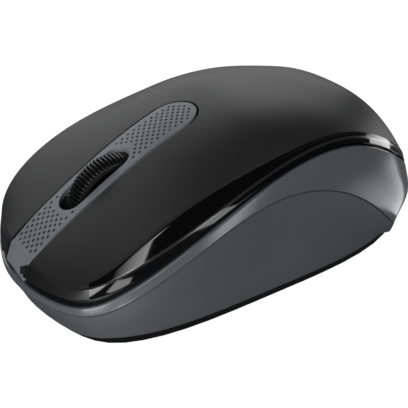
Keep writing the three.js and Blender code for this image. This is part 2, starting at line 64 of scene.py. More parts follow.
# Lines that run round the body: half of each, front centre to rear centre, as control points of a
# closed cubic B-spline.
BASE_LINE = [
    (0, -48.4, 0), (17.5, -44, 0), (26.8, -39.6, 0), (30.1, -24, 0),
    (28.1, 0.8, 0), (26.9, 23.6, 0), (19.2, 46, 0), (0, 47.1, 0),
]
SCOOP_LINE = [
    (0, -51.5, 6.5), (18.4, -46.4, 6.6), (28.5, -40.6, 8.7), (31.7, -24, 17.5),
    (29.2, 0.9, 27.6), (29.7, 24.1, 19.8), (19, 45.6, -5), (0, 47.3, 0.9),
]
SEAM_LINE = [
    (0, -51.7, 8.8), (18.4, -46.3, 7.7), (28.3, -40.5, 11.2), (31, -24, 19.3),
    (28.5, 0.9, 30.2), (27.4, 23.7, 32.9), (21.2, 48.3, 14.6), (0, 51.2, 9.8),
]
CREASE_LINE = [
    (0, -48.5, 13), (18.1, -45.8, 11.2), (28.2, -40.4, 15.8), (30.5, -24, 22.5),
    (27.4, 0.8, 31.7), (25.7, 23.4, 34.3), (20.5, 47.9, 17.6), (0, 50.2, 13.2),
]
SHOULDER_LINE = [
    (0, -48.1, 13.6), (17.9, -45.6, 11.6), (27.6, -40, 16.8), (27.4, -24.1, 27.3),
    (26.4, 0.7, 32.8), (24.9, 23.3, 35.5), (20.2, 47.6, 18), (0, 49.9, 13.8),
]
COVER_GAPS = [1.6, 1.6, 1.6, 1.3, 0.8, 0.6, 0.4, 0.4]
COVER_LINE = [(x * 0.995, y * 0.997, z + gap) for (x, y, z), gap in zip(SEAM_LINE, COVER_GAPS)]
AROUND = 520  # samples on a whole ring
BELLY = {"out": 3.0, "share": (0.33, 0.42)}  # the rear wall's bulge, growing between these shares

# The dome over the shoulder line.
TOP = 38.2
APEX_Y = 10
FULLNESS = {"front": 1.25, "side": 0.23, "rear": -0.05}
ARCH, ARCH_Y = 1.0, (-25, 2)  # the front's arch is a plain parabola, fading out between these y
BLEND_Y = (-4, 12)
ROLL_IN = 1.5  # where the dome starts to roll over into the shoulder

# Cover, strip and wheel slot.
COVER = 1.6
SLIT = 0.5
EDGE = 0.4  # rounded edge beside the slit
SLIT_DEPTH = 1.8  # how far the cover's edge reaches down beside the slit
COVER_SPACING = 0.9  # between the points of the cover's top
STRIP_FRONT = {"y": -48, "half": 5.4}
STRIP_REAR = {"y": -3.5, "half": 6.4}
STRIP_PROUD = 0.12
STRIP_SINK = {"depth": 0.6, "y": (-47.25, -40)}  # it drops below the keys towards its front
STRIP_FOOT = (-49.1, 7.6)  # y and z of the foot of its front face
STRIP_EDGE = 0.4
STRIP_WALL = 2.4  # depth of its side walls
SLOT = {"y": -28.7, "length": 19.8, "half": 3.85, "tilt": 0.58}
FLEX_Y = -6.5
GLOSS_START = 0.118  # share of the ring where the band turns glossy, at the front corner
DIMPLE = {"across": 1.05, "along": 0.75, "radius": 0.35, "depth": 0.16, "margin": 0.75}

# Side shell: its lower edge climbs behind the front, and its shelf stands back behind the strip's face.
WALL_BOTTOM = {"z": 0.95, "rise": 1.25, "share": (0.07, 0.16)}
SHELF = {"inset": 2.2, "back": 2.4, "share": (0.025, 0.045), "neck": 2.5}

# Base, feet, wheel and what shows through the base.
FOOT = 0.8
BASE_EDGE = 2.0
SKIN = 0.06  # the underside's smooth skin stands this proud of the CAD plate
SENSOR = {"x": -6, "y": -2}
SWITCH_SLOT = ((-17, -14), (-23.5, -16.5))
SLIDER = {"x": (-16.7, -14.3), "y": (-23.2, -19.8), "z": (0.45, 1.9)}
DOOR = {"x": (1.5, 17.5), "y": -13.6, "top": 1.6, "grip_x": (5.5, 13.5), "grips": (-8.5, -6.5, -4.5)}
RECEIVER = {"x": (-17.8, -2.8), "opening": (14.8, 33.6)}
CAP = {"x": (-17.7, -2.9), "y": (19.95, 26.6), "z": (1.2, 7.7)}
SCREW_HOLES = ((0, -41.5), (20.6, 14), (-20.6, 14))
FEET = {"front_x": (-11, 11), "front_y": (-43.4, -38.6), "side_x": (18.4, 22.8), "side_y": (5, 23)}
WHEEL = {"y": -23.7, "z": 17.3, "radius": 11.7, "half": 2.8, "ribs": 80}
RIB = {"steps": 10, "depth": 0.55, "up": (0, 0.2), "down": (0.6, 0.8)}  # shares of a rib's pitch
HUB_RADIUS = 9.4

VIEW = {"azimuth": 59.63, "elevation": 27.68, "roll": -1.25, "distance": 202.24,
        "target": (-1.61, -0.36, 9.7), "sensor": 36, "lens": 73.897}
FLOOR_REACH = 3000


# ---------------------------------------------------------------- curves and surfaces

def spline(line, t):
    """Points of the closed curve at shares t of its length."""
    control = np.array([*line, *[(-x, y, z) for x, y, z in line[-2:0:-1]]], float)
    at = np.mod(t, 1) * len(control)
    i = np.floor(at).astype(int)
    f = (at - i)[:, None]
    weights = ((1 - f) ** 3, 3 * f**3 - 6 * f**2 + 4, -3 * f**3 + 3 * f**2 + 3 * f + 1, f**3)
    return sum(w / 6 * control[(i - 1 + k) % len(control)] for k, w in enumerate(weights))


def ring(line, t, inset=0.0, lift=0.0):
    """The curve moved in by inset in plan and up by lift, each one number or one for each point."""
    along = spline(line, t + 1e-4) - spline(line, t - 1e-4)
    along /= np.hypot(along[:, 0], along[:, 1])[:, None]
    moved = spline(line, t)
    moved[:, 0] -= along[:, 1] * inset
    moved[:, 1] += along[:, 0] * inset
    moved[:, 2] += lift
    return moved


SHOULDER = spline(SHOULDER_LINE, np.linspace(0, 0.5, 3001))
BEARING = np.arctan2(SHOULDER[:, 0], APEX_Y - SHOULDER[:, 1])
REACH = np.hypot(SHOULDER[:, 0], SHOULDER[:, 1] - APEX_Y)
WIDEST = int(np.argmax(SHOULDER[:, 1] > APEX_Y + 2))  # the shoulder runs rearwards up to here


def smoothstep(low, high, value):
    share = np.clip((np.asarray(value, float) - low) / (high - low), 0, 1)
    return share * share * (3 - 2 * share)


def fall(k, full):
    """Share of the dome's drop at share k of the way out; full is how much of it is parabola."""
    return full * k**2 + (1 - full) * k**4


def dome_height(x, y):
    """Height of the cover: arched across in front of the apex, and falling all round behind it."""
    x, y = np.abs(x), np.asarray(y, float)
    behind = y - APEX_Y
    reach = np.maximum(np.hypot(x, behind), 1e-6)
    bearing = np.arctan2(x, -behind)
    rear_share = np.maximum(behind / reach, 0) ** 2
    full = FULLNESS["side"] * (1 - rear_share) + FULLNESS["rear"] * rear_share
    edge = np.interp(bearing, BEARING, SHOULDER[:, 2])
    around = TOP - (TOP - edge) * fall(reach / np.interp(bearing, BEARING, REACH), full)

    ridge = TOP - (TOP - SHOULDER[0, 2]) * fall(np.minimum(behind, 0) / REACH[0], FULLNESS["front"])
    side = SHOULDER[:WIDEST]
    half = np.maximum(np.interp(y, side[:, 1], side[:, 0]), 1e-6)
    full = FULLNESS["side"] + (ARCH - FULLNESS["side"]) * (1 - smoothstep(*ARCH_Y, y))
    across = ridge - (ridge - np.interp(y, side[:, 1], side[:, 2])) * fall(x / half, full)
    share = smoothstep(*BLEND_Y, y)
    return across * (1 - share) + around * share


def on_dome(plan):
    """Plan points lifted onto the dome."""
    plan = np.asarray(plan, float)
    return np.column_stack([plan[:, 0], plan[:, 1], dome_height(plan[:, 0], plan[:, 1])])


def strip_half(y):
    share = (y - STRIP_FRONT["y"]) / (STRIP_REAR["y"] - STRIP_FRONT["y"])
    return STRIP_FRONT["half"] + share * (STRIP_REAR["half"] - STRIP_FRONT["half"])


ARC_Y = STRIP_REAR["y"] - STRIP_REAR["half"]
ARC_RADIUS = strip_half(ARC_Y)


def strip_side(y, grow):
    """The +X side line of the strip, grown outwards, at each y in front of its round end."""
    return np.column_stack([strip_half(y) + grow, y])


def strip_end(angle, grow):
    """The strip's round rear end, grown outwards; angle 0 points to +X and a quarter turn to +Y."""
    reach = ARC_RADIUS + grow
    return np.column_stack([reach * np.cos(angle), ARC_Y + reach * np.sin(angle)])


# ---------------------------------------------------------------- patches of mesh

def grid(rows, paint=0, closed=False):
    """A patch of quads through rows of points; closed joins each row's last point to its first."""
    rows = np.asarray(rows, float)
    count, width = rows.shape[:2]
    across = range(width if closed else width - 1)
    faces = [
        (r * width + c, r * width + (c + 1) % width, (r + 1) * width + (c + 1) % width, (r + 1) * width + c)
        for r in range(count - 1) for c in across
    ]
    return rows.reshape(-1, 3), faces, [paint] * len(faces)


def softened(corners, radii, steps=4):
    """Rows of points through lists of corners, with each inner corner rounded by up to its radius."""
    rows = [corners[0]]
    for before, corner, after, radius in zip(corners, corners[1:], corners[2:], radii):
        into, out = before - corner, after - corner
        into_length = np.maximum(np.linalg.norm(into, axis=1), 1e-6)
        out_length = np.maximum(np.linalg.norm(out, axis=1), 1e-6)
        reach = np.minimum(radius, 0.45 * np.minimum(into_length, out_length))
        start = corner + into * (reach / into_length)[:, None]
        end = corner + out * (reach / out_length)[:, None]
        for s in np.linspace(0, 1, steps + 1):
            rows.append((1 - s) ** 2 * start + 2 * s * (1 - s) * corner + s * s * end)
    rows.append(corners[-1])
    return rows


def inside(points, loops):
    """Which plan points lie inside the first loop and outside the rest."""
    found = np.zeros(len(points), bool)
    for loop in loops:
        a = np.asarray(loop, float)
        b = np.roll(a, -1, axis=0)
        for (ax, ay), (bx, by) in zip(a, b):
            if ay == by:
                continue
            spans = (points[:, 1] < ay) != (points[:, 1] < by)
            found ^= spans & (points[:, 0] < ax + (points[:, 1] - ay) * (bx - ax) / (by - ay))
    return found


def clearance(points, loops):
    """Distance from each point to the nearest sample of the loops."""
    near = np.full(len(points), 1e9)
    for sample in np.concatenate([np.asarray(loop, float) for loop in loops]):
        near = np.minimum(near, np.hypot(points[:, 0] - sample[0], points[:, 1] - sample[1]))
    return near


def lattice(loops, across, along):
    """Staggered points over the outline's box: columns across apart, alternate ones half a step on."""
    low, high = np.min(loops[0], axis=0), np.max(loops[0], axis=0)
    columns = np.arange(math.floor(low[0] / across), math.ceil(high[0] / across) + 1)
    rows = np.arange(math.floor(low[1] / along / 2), math.ceil(high[1] / along / 2) + 1)
    i, j = (n.ravel() for n in np.meshgrid(columns, rows))
    return np.column_stack([i * across, (2 * j + i % 2) * along])


def plate(loops, spacing, height, extra=None, paint=0):
    """Triangles that fill a plan outline with holes, each point lifted by height(x, y)."""
    loops = [np.asarray(loop, float) for loop in loops]
    fill = lattice(loops, spacing, spacing * 0.58)
    fill = fill[inside(fill, loops)]
    fill = fill[clearance(fill, loops) > spacing * 0.6]
    if extra is not None:
        fill = np.concatenate([fill[clearance(fill, [extra]) > 0.5], extra])
    points = np.concatenate([*loops, fill])
    edges, start = [], 0
    for loop in loops:
        edges += [(start + i, start + (i + 1) % len(loop)) for i in range(len(loop))]
        start += len(loop)
    made, _, faces, origins, _, _ = delaunay_2d_cdt([Vector(p) for p in points], edges, [], 0, 1e-6)
    plan = np.array([points[o[0]] if o else tuple(v) for v, o in zip(made, origins)])
    faces = np.array([tuple(f) for f in faces])
    faces = faces[inside(plan[faces].mean(axis=1), loops)]
    verts = np.column_stack([plan, height(plan[:, 0], plan[:, 1])])
    return verts, [tuple(f) for f in faces.tolist()], [paint] * len(faces)


def mirrored(patch):
    verts, faces, paint = patch
    return verts * (-1, 1, 1), [tuple(reversed(f)) for f in faces], paint


def weld(patches):
    """One vertex list, with points that coincide merged, and its faces and their paint."""
    verts = np.concatenate([p[0] for p in patches])
    _, first, place = np.unique(np.round(verts, 4), axis=0, return_index=True, return_inverse=True)
    place = place.ravel()
    faces, paints, start = [], [], 0
    for points, patch_faces, patch_paints in patches:
        for face, paint in zip(patch_faces, patch_paints):
            corners = list(dict.fromkeys(int(place[start + c]) for c in face))
            if len(corners) > 2:
                faces.append(corners)
                paints.append(paint)
        start += len(points)
    return verts[first], faces, paints


def piece(name, patches, finishes, body=None, replaces=(), crease=35):
    """A smooth-shaded object made of patches; its edges sharper than crease degrees stay sharp."""
    verts, faces, paints = weld(patches)
    mesh = bpy.data.meshes.new(name)
    mesh.from_pydata((verts * MM).tolist(), [], faces)
    for finish in finishes:
        mesh.materials.append(finish)
    mesh.polygons.foreach_set("material_index", paints)
    work = bmesh.new()
    work.from_mesh(mesh)
    bmesh.ops.recalc_face_normals(work, faces=work.faces)
    work.to_mesh(mesh)
    work.free()
    mesh.shade_smooth()
    mesh.set_sharp_from_angle(angle=math.radians(crease))
    obj = bpy.data.objects.new(name, mesh)
    bpy.context.scene.collection.objects.link(obj)
    if body:
        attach(obj, body)
    if replaces:
        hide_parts(*replaces)
    return obj


# ---------------------------------------------------------------- materials

def shader(name, **sockets):
    """A material, its node tree and its Principled BSDF, with the shader's own sockets set."""
    material = bpy.data.materials.new(name)
    material.use_nodes = True
    tree = material.node_tree
    surface = tree.nodes["Principled BSDF"]
    for key, value in sockets.items():
        surface.inputs[key.replace("_", " ")].default_value = value
    return material, tree, surface


def add(tree, kind, settings=None, **sockets):
    """A new node; each socket takes a link from another node's output, or a value."""
    node = tree.nodes.new(kind)
    for key, value in (settings or {}).items():
        setattr(node, key, value)
    for key, value in sockets.items():
        key = key.replace("_", " ")
        if isinstance(value, bpy.types.NodeSocket):
            tree.links.new(value, node.inputs[key])
        else:
            node.inputs[key].default_value = value
    return node


def noise(tree, scale, detail=3.0):
    """Noise that is fixed to the object."""
    coordinates = add(tree, "ShaderNodeTexCoord")
    return add(tree, "ShaderNodeTexNoise", Vector=coordinates.outputs["Object"], Scale=scale,
               Detail=detail).outputs["Fac"]


def ramp(tree, value, low, high, from_low=0.3, from_high=0.7):
    """A value that runs from low to high while the input runs from from_low to from_high."""
    node = add(tree, "ShaderNodeMapRange", Value=value)
    for key, number in zip(("From Min", "From Max", "To Min", "To Max"), (from_low, from_high, low, high)):
        node.inputs[key].default_value = number
    return node.outputs["Result"]


def tint(tree, value, dark, light):
    """A colour between two others."""
    node = add(tree, "ShaderNodeMix", {"data_type": "RGBA"})
    tree.links.new(value, node.inputs["Factor"])
    node.inputs["A"].default_value = (*dark, 1)
    node.inputs["B"].default_value = (*light, 1)
    return node.outputs["Result"]


def moulded(name, dark, light, roughness, grain, bump, spread=0.03, **sockets):
    """Moulded plastic: a slow drift of colour and a fine grain in its roughness and bump."""
    material, tree, surface = shader(name, **sockets)
    drift = noise(tree, 60, 2)
    fine = noise(tree, grain)
    tree.links.new(tint(tree, ramp(tree, drift, 0, 1), dark, light), surface.inputs["Base Color"])
    tree.links.new(ramp(tree, fine, roughness - spread, roughness + spread), surface.inputs["Roughness"])
    relief = add(tree, "ShaderNodeBump", Height=fine, Strength=bump, Distance=0.00004)
    tree.links.new(relief.outputs["Normal"], surface.inputs["Normal"])
    return material


SATIN_BLACK = moulded("satin_black", (0.015, 0.015, 0.0153), (0.018, 0.018, 0.0183), 0.5, 9000, 0.25)
GLOSS_BLACK = moulded("gloss_black", (0.001, 0.001, 0.001), (0.0015, 0.0015, 0.0015), 0.07, 500, 0.02,
                      0.012, Specular_IOR_Level=0.35)
GREY = moulded("grey_plastic", (0.076, 0.081, 0.087), (0.084, 0.089, 0.095), 0.36, 7000, 0.2)
POLISHED_GREY = moulded("polished_grey", (0.078, 0.084, 0.090), (0.085, 0.091, 0.097), 0.2, 3000, 0.1, 0.02)
# Near-black for the rows round the side wall's crease under the scoop: painted shade in the crease.
CREASE_SHADE = moulded("painted_crease_shade", (0.016, 0.017, 0.019), (0.022, 0.023, 0.025), 0.5, 5000, 0.2)
# Near-black for the faces inside the strip's pits: painted shade, much darker than the strip's own grey.
PIT_SHADE = moulded("painted_pit_shade", (0.010, 0.010, 0.011), (0.016, 0.016, 0.017), 0.16, 3000, 0.1)
POLISHED_EDGE = moulded("polished_edge", (0.012, 0.012, 0.012), (0.016, 0.016, 0.016), 0.2, 3000, 0.05,
                        Specular_IOR_Level=1.0)
# A darker copy of the satin black for the cover's front band: painted shade on its forward, downward face.
BAND_SHADE = moulded("painted_band_shade", (0.008, 0.008, 0.0085), (0.011, 0.011, 0.0115), 0.42, 5000, 0.2)
STRIP_GREY = moulded("strip_grey", (0.085, 0.088, 0.094), (0.098, 0.101, 0.108), 0.4, 7000, 0.2)
# Near-black: painted shade on the deep walls of the slits and the wheel slot, and on the side shell's shelf
# and neck partly black plastic and partly painted shade.
NECK_BLACK_AND_SHADE = moulded("neck_black_and_painted_shade", (0.008, 0.010, 0.011), (0.012, 0.014, 0.015), 0.35, 3000, 0.2)
BASE_BLACK = moulded("base_black", (0.004, 0.004, 0.0045), (0.007, 0.007, 0.0075), 0.5, 5000, 0.4,
                     Specular_IOR_Level=0.25)
RUBBER = moulded("rubber", (0.006, 0.006, 0.006), (0.010, 0.010, 0.010), 0.4, 4000, 0.3,
                 Specular_IOR_Level=0.3)
# A blacker copy of the rubber for the tyre's grooves: painted shade.
GROOVE_SHADE = moulded("painted_groove_shade", (0.002, 0.002, 0.002), (0.003, 0.003, 0.003), 0.7, 4000, 0.3,
                       Specular_IOR_Level=0.1)
POLISHED_RUBBER = moulded("polished_rubber", (0.010, 0.010, 0.010), (0.014, 0.014, 0.014), 0.18, 2500, 0.2)
SLIP = moulded("foot_slip", (0.035, 0.035, 0.037), (0.05, 0.05, 0.052), 0.3, 2500, 0.3)
WHITE = moulded("pale_plastic", (0.55, 0.53, 0.48), (0.66, 0.64, 0.59), 0.45, 3000, 0.3)
RED = moulded("red_plastic", (0.30, 0.03, 0.02), (0.40, 0.05, 0.04), 0.4, 3000, 0.3)
CHIP = moulded("chip_epoxy", (0.014, 0.014, 0.016), (0.026, 0.026, 0.028), 0.6, 6000, 0.6)
STEEL = moulded("steel", (0.52, 0.52, 0.54), (0.66, 0.66, 0.68), 0.26, 2500, 0.15, 0.06, Metallic=1.0)
CLEAR = moulded("clear_plastic", (0.82, 0.86, 0.88), (0.9, 0.92, 0.94), 0.06, 800, 0.02, 0.02,
                Transmission_Weight=0.85, IOR=1.49)


def board_material():
    """Green solder mask with paler traces and gold pads."""
    material, tree, surface = shader("circuit_board", Roughness=0.35)
    coordinates = add(tree, "ShaderNodeTexCoord").outputs["Object"]
    traces = add(tree, "ShaderNodeTexBrick", Vector=coordinates, Scale=420.0, Mortar_Size=0.05)
    traces.inputs["Color1"].default_value = (0.012, 0.085, 0.035, 1)
    traces.inputs["Color2"].default_value = (0.016, 0.105, 0.045, 1)
    traces.inputs["Mortar"].default_value = (0.045, 0.2, 0.09, 1)
    pads = add(tree, "ShaderNodeTexVoronoi", Vector=coordinates, Scale=330.0)
    is_pad = add(tree, "ShaderNodeMath", {"operation": "LESS_THAN"})
    tree.links.new(pads.outputs["Distance"], is_pad.inputs[0])
    is_pad.inputs[1].default_value = 0.14
    mixed = add(tree, "ShaderNodeMix", {"data_type": "RGBA"})
    tree.links.new(is_pad.outputs[0], mixed.inputs["Factor"])
    tree.links.new(traces.outputs["Color"], mixed.inputs["A"])
    mixed.inputs["B"].default_value = (0.62, 0.45, 0.14, 1)
    tree.links.new(mixed.outputs["Result"], surface.inputs["Base Color"])
    tree.links.new(is_pad.outputs[0], surface.inputs["Metallic"])
    return material


def cell_material():
    """A cell's film wrap: blue with a pale band round its positive end, and a bare steel tip."""
    material, tree, surface = shader("cell_wrap", Roughness=0.25)
    low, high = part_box("battery")
    place = add(tree, "ShaderNodeSeparateXYZ", Vector=add(tree, "ShaderNodeTexCoord").outputs["Object"])
    share = ramp(tree, place.outputs["Y"], 0, 1, low.y, high.y)
    bands = add(tree, "ShaderNodeValToRGB")
    tree.links.new(share, bands.inputs["Fac"])
    bands.color_ramp.interpolation = "CONSTANT"
    stops = [(0, (0.6, 0.6, 0.62)), (0.02, (0.03, 0.11, 0.30)), (0.7, (0.75, 0.76, 0.78)),
             (0.73, (0.03, 0.11, 0.30)), (0.96, (0.6, 0.6, 0.62))]
    for (position, color), element in zip(
            stops, [*bands.color_ramp.elements, *[bands.color_ramp.elements.new(p) for p, _ in stops[2:]]]):
        element.position, element.color = position, (*color, 1)
    grain = noise(tree, 900)
    shade = add(tree, "ShaderNodeMix", {"data_type": "RGBA", "blend_type": "MULTIPLY"})
    shade.inputs["Factor"].default_value = 0.2
    tree.links.new(bands.outputs["Color"], shade.inputs["A"])
    tree.links.new(tint(tree, grain, (0.7, 0.7, 0.7), (1, 1, 1)), shade.inputs["B"])
    tree.links.new(shade.outputs["Result"], surface.inputs["Base Color"])
    return material


# ---------------------------------------------------------------- cover

def share_where(value_of, target, low, high):
    """The share t between low and high where value_of(t) passes target, by halving."""
    rising = value_of(high) > value_of(low)
    for _ in range(50):
        middle = (low + high) / 2
        if (value_of(middle) > target) == rising:
            high = middle
        else:
            low = middle
    return (low + high) / 2


def one(line, t, inset=0.0):
    return ring(line, np.array([t]), inset)[0]


GLOSS, CREASE_EDGE, FRONT_BAND_SHADE, DEEP_SHADE = 1, 2, 3, 4  # finishes of the cover's pieces after satin
SHOULDER_BANDS = 3  # bands of the rim that stay satin
CREASE_BANDS = (6, 9)  # first and last band of the crease's rounding


def roll(t):
    """The ring where the dome starts to roll over, on the dome."""
    inset = ROLL_IN * (0.35 + 0.65 * smoothstep(0.08, 0.16, np.minimum(t, 1 - t)))
    return on_dome(ring(SHOULDER_LINE, t, inset)[:, :2])


def cover_rim(t):
    """Rows of the cover's edge: shoulder, crease, lower edge and the return inside it."""
    shoulder = ring(SHOULDER_LINE, t)
    crease = ring(CREASE_LINE, t)
    lower = ring(COVER_LINE, t)
    back = ring(COVER_LINE, t, COVER, 0.15)
    up = ring(COVER_LINE, t, COVER + 0.2, 2.2)
    return softened([roll(t), shoulder, crease, lower, back, up], [1.2, 0.3, 0.3, 0.2])


def painted_rim(rim, t):
    """The rim's rows as a patch: satin, a gloss side band, a polished crease and a front band painted
    darker as painted shade.
    """
    band = np.repeat(np.arange(len(rim) - 1), len(t) - 1)
    middle = (t[:-1] + t[1:]) / 2
    gloss = np.tile(np.minimum(middle, 1 - middle) > GLOSS_START, len(rim) - 1)
    # The front band below the crease takes the darker satin copy: painted shade.
    paint = np.select(
        [band < SHOULDER_BANDS, (band >= CREASE_BANDS[0]) & (band <= CREASE_BANDS[1]), gloss,
         band > CREASE_BANDS[1]],
        [0, CREASE_EDGE, GLOSS, FRONT_BAND_SHADE], 0)
    rows, faces, _ = grid(rim)
    return rows, faces, paint.tolist()


def slit_wall(corners):
    """The edge beside the slit: rounded over in satin, then painted near-black below as painted shade in
    the slit.
    """
    rows = softened(corners, [0.3])
    return [grid(rows[:4]), grid(rows[3:], DEEP_SHADE)]


TURN = share_where(lambda t: one(SHOULDER_LINE, t)[1], FLEX_Y, 0.15, 0.4)
END_ANGLE = math.asin((FLEX_Y - ARC_Y) / (ARC_RADIUS + SLIT + EDGE))


def slit_gap(t, grow):
    """How far the shoulder at share t lies outside the strip grown by grow."""
    x, y, _ = one(SHOULDER_LINE, t)
    return x - strip_half(y) - grow


def inward(rows):
    """Unit vectors across the profile of a column of points, to its inner side, in the YZ plane."""
    along = np.gradient(rows, axis=0)
    turned = np.column_stack([np.zeros(len(rows)), -along[:, 2], along[:, 1]])
    return turned / np.maximum(np.linalg.norm(turned, axis=1), 1e-9)[:, None]


def key_patches():
    """The +X key: its top, its rolled rim round the front corner, and the edge beside the slit."""
    first = share_where(lambda t: slit_gap(t, SLIT), 0, 0.005, 0.05)
    second = share_where(lambda t: slit_gap(t, SLIT + EDGE), 0, 0.005, 0.05)
    t = np.linspace(second, TURN, int(AROUND * (TURN - second)) + 1)
    rim = np.array(cover_rim(t))
    edge_column = np.array(cover_rim(np.array([first])))[:, 0]

    front_y = rim[0, 0, 1]
    ys = np.linspace(front_y, ARC_Y, 90)
    angles = np.linspace(0, END_ANGLE, 10)[1:]
    near = np.concatenate([strip_side(ys, SLIT + EDGE), strip_end(angles, SLIT + EDGE)])
    near[0] = rim[0, 0, :2]
    edge = np.concatenate([strip_side(ys, SLIT), strip_end(angles, SLIT)])
    edge[0] = edge_column[0, :2]

    outline = np.concatenate([near[::-1][:-1], rim[0, :, :2]])
    split = np.linspace(outline[-1], outline[0], 45)[1:-1]
    outline = np.concatenate([outline, split])
    beside = split - (0, 0.08)
    top = plate([outline], COVER_SPACING, dome_height, extra=beside)

    rim_patch = painted_rim(rim, t)

    # From the rear of the slit forward over the dome, then down the rim.
    near_path = np.concatenate([on_dome(near[::-1]), rim[1:, 0]])
    edge_path = np.concatenate([on_dome(edge[::-1]), edge_column[1:]])
    depth = inward(edge_path) * SLIT_DEPTH
    depth[: len(near)] = (0, 0, -SLIT_DEPTH)
    wall = slit_wall([near_path, edge_path, edge_path + depth])
    return [top, rim_patch, *wall]


def palm_patches():
    """The palm: its top on both sides, its rim round the rear, and the edge round the strip's end."""
    t = np.linspace(TURN, 1 - TURN, int(AROUND * (1 - 2 * TURN)) // 2 * 2 + 1)
    rim = np.array(cover_rim(t))
    angles = np.linspace(END_ANGLE, math.pi - END_ANGLE, 61)
    near, edge = strip_end(angles, SLIT + EDGE), strip_end(angles, SLIT)
    left_split = np.linspace(rim[0, -1, :2], near[-1], 45)[1:-1]
    right_split = np.linspace(near[0], rim[0, 0, :2], 45)[1:-1]
    outline = np.concatenate([rim[0, :, :2], left_split, near[::-1], right_split])
    beside = np.concatenate([left_split, right_split]) + (0, 0.08)
    top = plate([outline], COVER_SPACING, dome_height, extra=beside)
    edge_3d = on_dome(edge)
    return [top, painted_rim(rim, t), *slit_wall([on_dome(near), edge_3d, edge_3d - (0, 0, SLIT_DEPTH)])]


def make_cover():
    finishes = [SATIN_BLACK, GLOSS_BLACK, POLISHED_EDGE, BAND_SHADE, NECK_BLACK_AND_SHADE]
    key = key_patches()
    for name, patches in (("left", key), ("right", [mirrored(p) for p in key])):
        button = piece(f"{name}_key_shell", patches, finishes,
                       replaces=[f"{name}_button"])
        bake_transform(button)
    piece("palm_shell", palm_patches(), finishes, "body", ["palm_cover"])


# ---------------------------------------------------------------- centre strip

def slot_path(grow, count=22):
    """The wheel slot's outline in plan: two straight sides and two round ends in a tilted plane."""
    lean = math.cos(SLOT["tilt"])
    reach = SLOT["length"] / 2 - SLOT["half"]
    radius = SLOT["half"] + grow
    turn = np.linspace(0, math.pi, count)
    rear = np.column_stack([radius * np.cos(turn), reach + radius * np.sin(turn)])
    straight = np.linspace(rear[-1], (-radius, -reach), 26)[1:-1]
    half = np.concatenate([rear, straight])
    whole = np.concatenate([half, -half])
    return whole * (1, lean) + (0, SLOT["y"])


def dimple_centres(loops):
    centres = lattice(loops, DIMPLE["across"], DIMPLE["along"])
    centres = centres[inside(centres, loops)]
    return centres[clearance(centres, loops) > DIMPLE["margin"]]


def strip_height(x, y):
    """Height of the strip's top before its pits."""
    sink = STRIP_SINK["depth"] * (1 - smoothstep(*STRIP_SINK["y"], y))
    return dome_height(x, y) + STRIP_PROUD - sink


def on_strip(plan):
    return np.column_stack([plan, strip_height(plan[:, 0], plan[:, 1])])


def pitted_top(loops):
    """The strip's top with its staggered pits, which are painted near-black: painted shade in the pits."""
    centres = dimple_centres(loops)
    radius = DIMPLE["radius"]

    def height(x, y):
        share = clearance(np.column_stack([x, y]), [centres]) / radius
        return strip_height(x, y) - DIMPLE["depth"] * np.clip(1 - share**2, 0, 1)

    turns = np.linspace(0, 2 * math.pi, 11)[:-1]
    circle = np.column_stack([np.cos(turns), np.sin(turns)]) * radius
    rings = [(centres[:, None] + circle * share).reshape(-1, 2) for share in (0.5, 1, 1.35)]
    verts, faces, _ = plate(loops, 0.8, height, extra=np.concatenate([centres, *rings]))
    # Faces inside the pits take the painted shade.
    middles = verts[np.array(faces)].mean(axis=1)[:, :2]
    return verts, faces, (clearance(middles, [centres]) < radius).astype(int).tolist()


def strip_patches():
    """The centre strip: its pitted top, front face, side walls and the wall of the wheel's slot."""
    front_y = STRIP_SINK["y"][0]
    foot_y, foot_z = STRIP_FOOT
    ys = np.linspace(front_y + 0.25, ARC_Y, 90)
    angles = np.linspace(0, math.pi, 61)[1:-1]

    def path(grow):
        right = strip_side(ys, grow)
        return np.concatenate([right, strip_end(angles, grow), right[::-1] * (-1, 1)])

    outline, edge = path(-STRIP_EDGE), path(0)
    front = np.linspace(outline[-1], outline[0], 24)
    rim_in, rim_edge = slot_path(0.35), slot_path(0)
    top = pitted_top([np.concatenate([outline, front[1:-1]]), rim_in])

    fold = on_strip(np.column_stack([front[:, 0], np.full(len(front), front_y)]))
    foot = np.column_stack([front[:, 0], np.full(len(front), foot_y), np.full(len(front), foot_z)])
    face_rows = np.array(softened([on_strip(front), fold, foot, foot + (0, 1.2, -0.3)], [0.16, 0.2]))
    outer = on_strip(edge)
    sides = grid(softened([on_strip(outline), outer, outer - (0, 0, STRIP_WALL)], [0.35]))
    ends = []
    for column, sign in ((-1, 1), (0, -1)):
        inner = face_rows[:, column]
        corner = inner + (sign * STRIP_EDGE, 0, 0)
        ends.append(grid(softened([inner, corner, corner + (0, STRIP_WALL, -0.2)], [0.3])))
    lip = on_strip(rim_edge)
    slot_rows = softened([on_strip(rim_in), lip, lip - (0, 0, 1.3), lip - (0, 0, 5)], [0.3, 0.05])
    lip_rows = 7  # the rounding and the grey wall under it
    # Below the rounding and the grey wall, the slot's wall is painted black: painted shade.
    slot_wall = [grid(slot_rows[:lip_rows], closed=True), grid(slot_rows[lip_rows - 1:], 2, closed=True)]
    return [top, grid(face_rows), sides, *ends, *slot_wall]


def make_strip():
    return piece("strip_shell", strip_patches(), [STRIP_GREY, PIT_SHADE, NECK_BLACK_AND_SHADE], "body",
                 ["centre_strip"], crease=30)


# ---------------------------------------------------------------- side shell and underside

